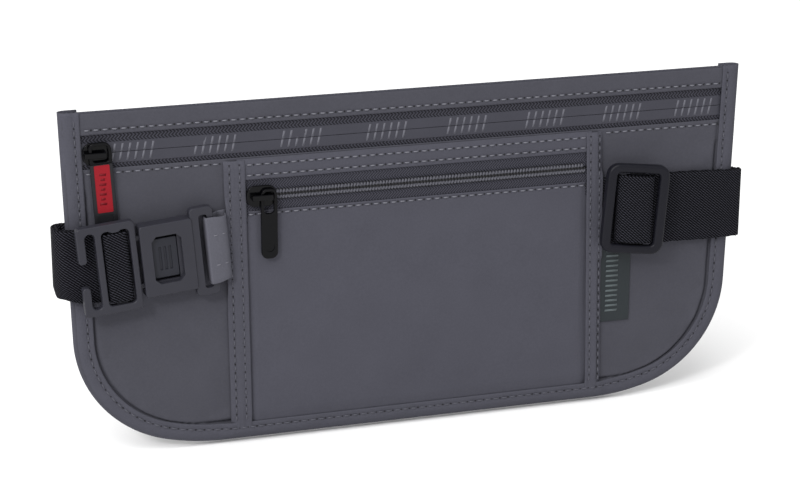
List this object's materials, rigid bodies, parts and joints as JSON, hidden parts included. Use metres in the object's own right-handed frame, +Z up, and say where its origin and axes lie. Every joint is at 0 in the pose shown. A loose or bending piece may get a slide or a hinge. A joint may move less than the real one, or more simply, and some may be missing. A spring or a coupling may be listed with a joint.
{
  "type": "money belt",
  "caption": "Flat zipped waist pouch with a front zip pocket, bound edges, and a folded elastic strap with a release buckle and a tri-glide adjuster.",
  "frame": {"origin": "middle of the outer face of the strap behind the pouch, which rests on the waist", "axes": "+X to the right seen from the front, -Y out of the front, +Y towards the wearer, +Z up"},
  "size_m": [0.2925, 0.0202, 0.1419],
  "materials": {
    "back_mesh": "air mesh",
    "shielding": "coated cloth",
    "cloth": "fine ripstop polyester",
    "binding": "woven tape",
    "label": "woven satin",
    "zip_film": "smooth laminated film",
    "zip_tape": "herringbone tape",
    "zip_coil": "nylon coil",
    "slider": "glossy black",
    "puller": "black",
    "pull_rubber": "moulded",
    "red_inlay": "satin",
    "webbing": "elastic twill webbing",
    "buckle": "moulded acetal",
    "button": "moulded acetal",
    "tab_cloth": "coated cloth",
    "tri_glide": "moulded acetal"
  },
  "bodies": {
    "root": {"back_panel": "back_mesh", "rfid_lining": "shielding", "front_panel": "cloth", "top_band": "cloth", "edge_binding": "binding", "pocket_band": "cloth", "pocket_panel": "cloth", "left_pocket_tape": "binding", "right_pocket_tape": "binding", "side_label": "label", "main_zip_tape_upper": "zip_film", "main_zip_tape_lower": "zip_film", "main_zip_coil_upper": "zip_coil", "main_zip_coil_lower": "zip_coil", "pocket_zip_tape_upper": "zip_tape", "pocket_zip_tape_lower": "zip_tape", "pocket_zip_coil_upper": "zip_coil", "pocket_zip_coil_lower": "zip_coil", "buckle_socket": "buckle", "buckle_tab": "tab_cloth", "strap_outer_run": "webbing", "strap_inner_run": "webbing"},
    "plug": {"buckle_plug": "buckle", "strap_left_turn_outer": "webbing", "strap_left_turn_inner": "webbing", "strap_buckle_bight": "webbing"},
    "button": {"release_button": "button"},
    "adjuster": {"strap_adjuster": "tri_glide", "strap_adjuster_loop": "webbing", "strap_adjuster_bight": "webbing"},
    "main_slider": {"main_zip_slider": "slider"},
    "main_puller": {"main_pull_loop": "puller", "main_pull_tab": "pull_rubber", "main_pull_inlay": "red_inlay"},
    "pocket_slider": {"pocket_zip_slider": "slider"},
    "pocket_puller": {"pocket_zip_puller": "puller"}
  },
  "joints": [
    {"name": "main_zip_slide", "type": "slide", "parent": "root", "child": "main_slider", "axis": [1, 0, 0], "range_m": [0, 0.256], "deforming": ["main_pull_tab", "main_pull_inlay"]},
    {"name": "main_puller_swing", "type": "hinge", "parent": "main_slider", "child": "main_puller", "pos_m": [-0.13065, -0.0092, 0.0435], "axis": [0, -1, 0], "range_deg": [-7, 13]},
    {"name": "pocket_zip_slide", "type": "slide", "parent": "root", "child": "pocket_slider", "axis": [1, 0, 0], "range_m": [0, 0.13]},
    {"name": "pocket_puller_swing", "type": "hinge", "parent": "pocket_slider", "child": "pocket_puller", "pos_m": [-0.06395, -0.0119, 0.022], "axis": [0, -1, 0], "range_deg": [-5, 25]},
    {"name": "buckle_pull", "type": "slide", "parent": "root", "child": "plug", "axis": [-0.9958, -0.0417, -0.0819], "range_m": [0, 0.018]},
    {"name": "button_press", "type": "slide", "parent": "plug", "child": "button", "axis": [-0.0419, 0.9991, 0], "range_m": [0, 0.0011], "stiffness_N_per_m": 800},
    {"name": "adjuster_slide", "type": "slide", "parent": "root", "child": "adjuster", "axis": [1, 0, 0], "range_m": [0, 0.025]}
  ]
}
